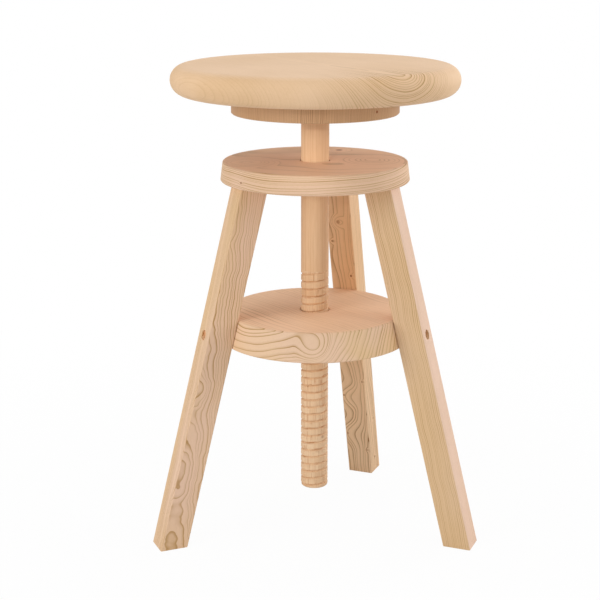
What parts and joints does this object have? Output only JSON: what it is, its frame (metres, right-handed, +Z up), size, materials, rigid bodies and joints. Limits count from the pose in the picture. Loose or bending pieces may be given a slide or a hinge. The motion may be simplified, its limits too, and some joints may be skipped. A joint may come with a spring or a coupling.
{
  "type": "adjustable stool",
  "caption": "Solid pine stool with a round seat on a wooden screw spindle that turns up and down in a splayed leg base with upper and lower round plates.",
  "frame": {"origin": "on the floor, on the axis of the spindle", "axes": "+Z up along the spindle; the single leg points to -X and the pair of legs to +X, one on each side"},
  "size_m": [0.3339, 0.2998, 0.506],
  "materials": {
    "seat_pine": "sanded bare pine, pale straw, satin",
    "plate_pine": "sanded bare pine, pinkish tan, satin",
    "leg_pine": "planed bare pine with straight grain, satin",
    "spindle_pine": "turned bare pine with fine streaks, satin",
    "plug_wood": "end grain of turned hardwood, matt",
    "zinc_steel": "zinc plated"
  },
  "bodies": {
    "base": {"upper_plate": "plate_pine", "lower_plate": "plate_pine", "leg_left": "leg_pine", "leg_front_right": "leg_pine", "leg_rear_right": "leg_pine", "leg_screw_left": "zinc_steel", "leg_screw_front_right": "zinc_steel", "leg_screw_rear_right": "zinc_steel", "leg_plug_left": "plug_wood", "leg_plug_front_right": "plug_wood", "leg_plug_rear_right": "plug_wood", "leg_dowels_left": "plug_wood", "leg_dowels_front_right": "plug_wood", "leg_dowels_rear_right": "plug_wood"},
    "lift": {"spindle_washer": "zinc_steel"},
    "seat_and_spindle": {"seat": "seat_pine", "seat_flange": "seat_pine", "flange_screws": "zinc_steel", "spindle": "spindle_pine", "spindle_lag_screw": "zinc_steel"}
  },
  "joints": [
    {"name": "seat_lift", "type": "slide", "parent": "base", "child": "lift", "axis": [0, 0, 1], "range_m": [-0.03717, 0.16505]},
    {"name": "seat_turn", "type": "hinge", "parent": "lift", "child": "seat_and_spindle", "pos_m": [0, 0, 0.456], "axis": [0, 0, 1], "range_deg": [-1620, 7200]}
  ],
  "couplings": [
    {"joint": "seat_lift", "follows": "seat_turn", "m_per_rad": 0.001313}
  ]
}
